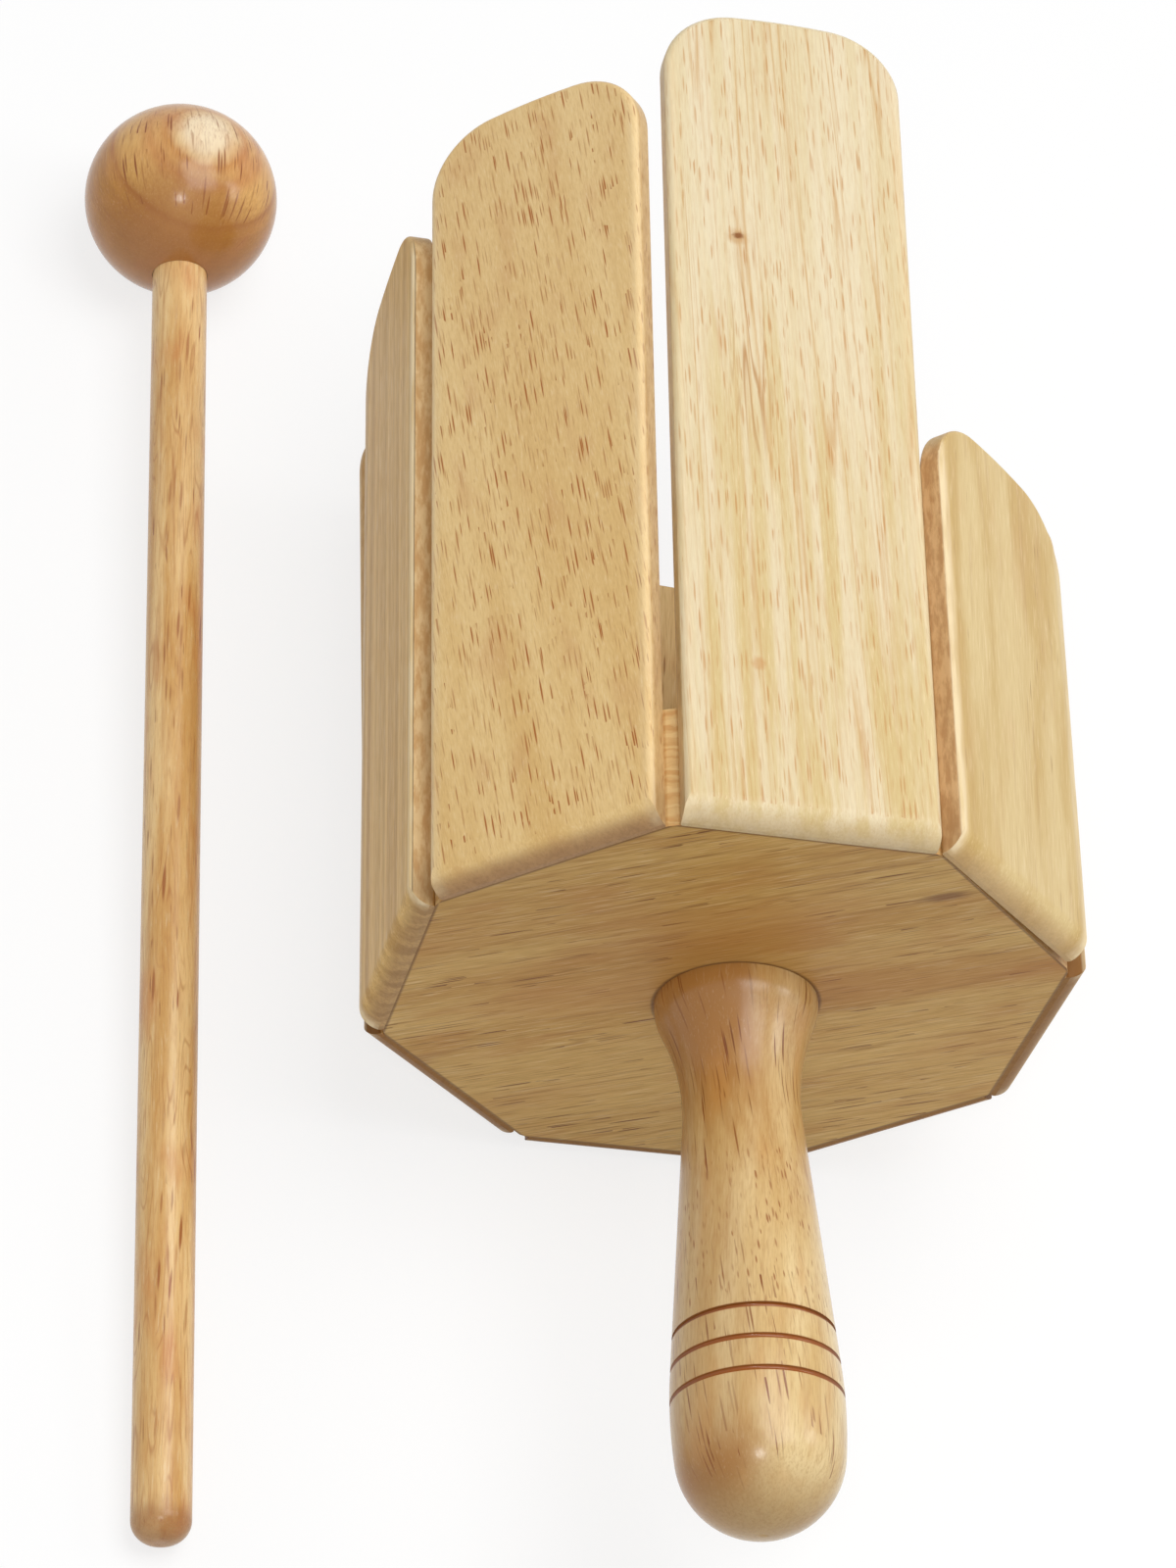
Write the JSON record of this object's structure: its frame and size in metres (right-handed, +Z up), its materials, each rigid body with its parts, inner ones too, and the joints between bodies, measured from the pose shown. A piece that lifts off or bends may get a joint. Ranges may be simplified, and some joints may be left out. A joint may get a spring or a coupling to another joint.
{
  "type": "stirring woodblock with mallet",
  "caption": "Hand-held stirring woodblock: flat tuned planks of stepped length stand round an octagonal base to form an open well, with a turned handle and a separate ball-headed mallet.",
  "frame": {"origin": "on the outer face of the plank that the drum lies on, under the middle of the base block's thickness", "axes": "+Y along the drum's axis from the handle to the open mouth, +Z up from the floor to the longest plank, +X to the right seen from the handle"},
  "size_m": [0.1858, 0.3345, 0.1296],
  "materials": {
    "base_wood": "satin varnish over sanded hardwood",
    "handle_wood": "gloss varnish over turned hardwood",
    "plank_wood": "satin varnish over sanded hardwood",
    "mallet_head_wood": "gloss varnish over turned hardwood",
    "mallet_stick_wood": "gloss varnish over a dowel"
  },
  "bodies": {
    "drum": {"base_block": "base_wood", "handle": "handle_wood", "plank_1": "plank_wood", "plank_2": "plank_wood", "plank_3": "plank_wood", "plank_4": "plank_wood", "plank_5": "plank_wood", "plank_6": "plank_wood", "plank_7": "plank_wood", "plank_8": "plank_wood"},
    "mallet": {"mallet_head": "mallet_head_wood", "mallet_stick": "mallet_stick_wood"}
  },
  "joints": [
    {"name": "mallet_lift", "type": "slide", "parent": "drum", "child": "mallet", "axis": [0, 0, 1], "range_m": [0, 0.15]}
  ]
}
